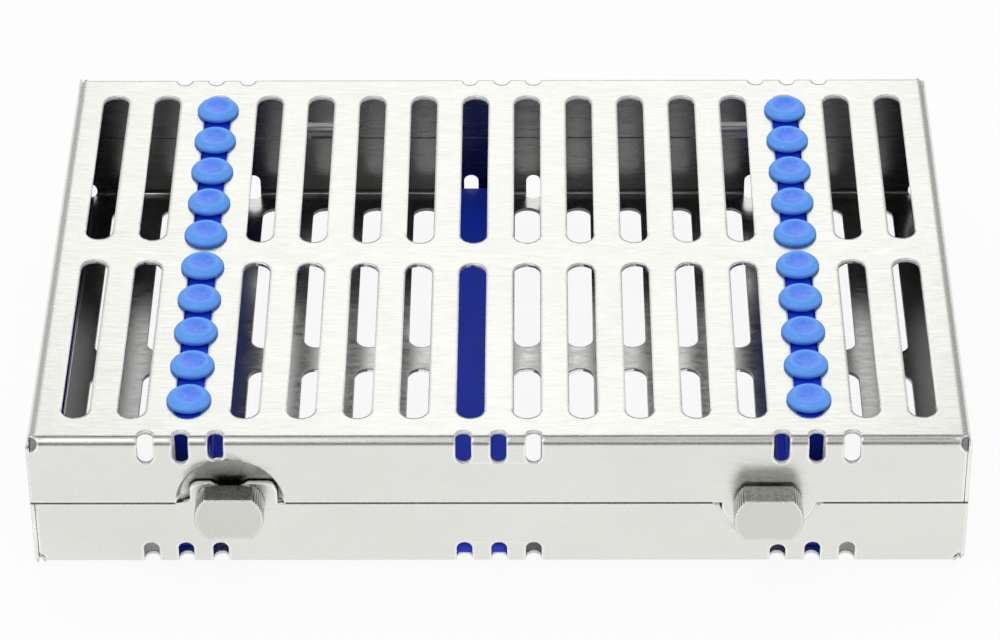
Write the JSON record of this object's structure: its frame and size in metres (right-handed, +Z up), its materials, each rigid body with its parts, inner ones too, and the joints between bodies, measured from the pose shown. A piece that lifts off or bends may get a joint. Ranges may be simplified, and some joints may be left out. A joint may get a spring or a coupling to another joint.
{
  "type": "dental instrument cassette",
  "caption": "Folded steel sterilising cassette for dental instruments, slotted tray and hinged lid, blue silicone rails with stud heads and quarter-turn knobs.",
  "frame": {"origin": "on the resting plane under the tray's stud heads, at the middle of the whole part's box in X and Y", "axes": "+X to the right along the front, +Y to the hinges at the back, +Z up out of the lid"},
  "size_m": [0.2, 0.1479, 0.0376],
  "materials": {
    "steel_sheet": "satin stainless sheet, slot edges deburred",
    "silicone_blue": "moulded blue silicone, satin",
    "steel_turned": "turned stainless, fine lines on the face, knurled sides",
    "steel_small_parts": "satin stainless"
  },
  "bodies": {
    "tray": {"tray_shell": "steel_sheet", "tray_rail_left": "silicone_blue", "tray_rail_centre": "silicone_blue", "tray_rail_right": "silicone_blue", "tray_hinge_leaf_left": "steel_small_parts", "tray_hinge_leaf_right": "steel_small_parts", "hinge_pin_left": "steel_small_parts", "hinge_pin_right": "steel_small_parts", "knob_washer_right": "steel_small_parts"},
    "lid": {"lid_shell": "steel_sheet", "lid_rail_left": "silicone_blue", "lid_rail_right": "silicone_blue", "lid_hinge_leaf_left": "steel_small_parts", "lid_hinge_leaf_right": "steel_small_parts", "knob_washer_left": "steel_small_parts"},
    "left_knob": {"knob_left": "steel_turned", "knob_clip_left": "steel_small_parts"},
    "right_knob": {"knob_right": "steel_turned", "knob_clip_right": "steel_small_parts"}
  },
  "joints": [
    {"name": "lid_hinge", "type": "hinge", "parent": "tray", "child": "lid", "pos_m": [0, 0.07165, 0.0188], "axis": [-1, 0, 0], "range_deg": [0, 180]},
    {"name": "left_knob_turn", "type": "hinge", "parent": "lid", "child": "left_knob", "pos_m": [-0.0573, -0.0679, 0.0188], "axis": [0, -1, 0], "range_deg": [0, 90]},
    {"name": "right_knob_turn", "type": "hinge", "parent": "tray", "child": "right_knob", "pos_m": [0.0573, -0.0679, 0.0188], "axis": [0, -1, 0], "range_deg": [0, 90]}
  ]
}
